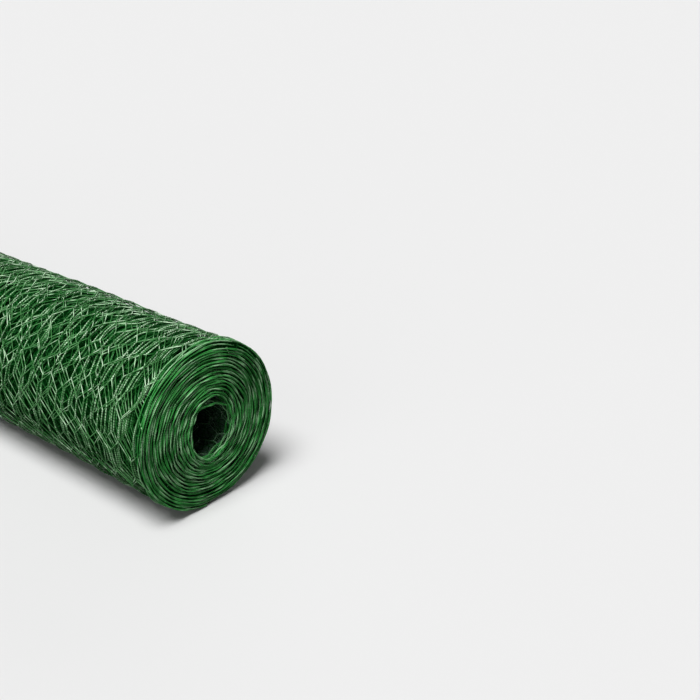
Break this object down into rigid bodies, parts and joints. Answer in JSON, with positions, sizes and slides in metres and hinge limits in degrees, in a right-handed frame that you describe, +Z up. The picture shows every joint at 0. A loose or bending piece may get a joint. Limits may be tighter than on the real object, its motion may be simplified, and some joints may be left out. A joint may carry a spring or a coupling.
{
  "type": "roll of chicken wire",
  "caption": "Roll of green plastic-coated hexagonal wire netting, wound on itself around an open bore and lying on its side, with the edge wires of its turns showing on both ends.",
  "frame": {"origin": "on the floor, under the middle of the roll", "axes": "+X along the roll's axis, +Z up"},
  "size_m": [1, 0.134, 0.1341],
  "materials": {
    "coated_wire": "satin green plastic coating over galvanised steel wire"
  },
  "bodies": {
    "root": {"netting_roll": "coated_wire"}
  },
  "joints": []
}
